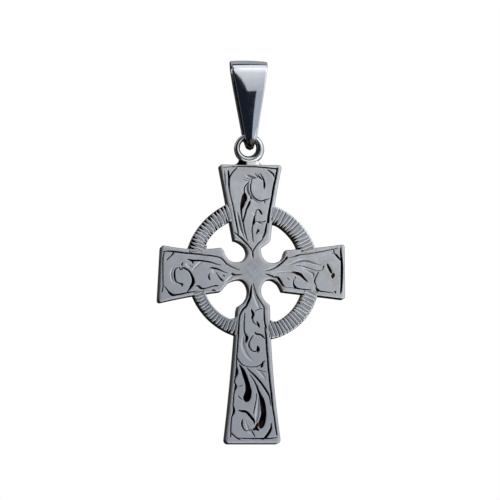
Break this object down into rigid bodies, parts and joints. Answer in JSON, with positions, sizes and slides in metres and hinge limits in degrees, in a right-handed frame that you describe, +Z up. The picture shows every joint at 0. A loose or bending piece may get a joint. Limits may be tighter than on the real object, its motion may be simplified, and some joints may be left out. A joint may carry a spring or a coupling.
{
  "type": "celtic cross pendant",
  "caption": "Silver Celtic cross pendant: pierced, engraved cross with a notched ring round its crossing, swinging from a tapered strap bail by a soldered hanging ring.",
  "frame": {"origin": "inside top of the bail, where the chain lies", "axes": "+Z up along the hanging pendant, -Y out of the engraved front, +X to the right of the front"},
  "size_m": [0.024, 0.0034, 0.0491],
  "materials": {
    "silver_cross": "polished silver, blackened in the cuts",
    "silver_bail": "high polish silver"
  },
  "bodies": {
    "bail": {"bail": "silver_bail"},
    "cross": {"cross": "silver_cross"}
  },
  "joints": [
    {"name": "cross_swing", "type": "hinge", "parent": "bail", "child": "cross", "pos_m": [0, 0, -0.00946], "axis": [1, 0, 0], "range_deg": [-90, 90]}
  ]
}
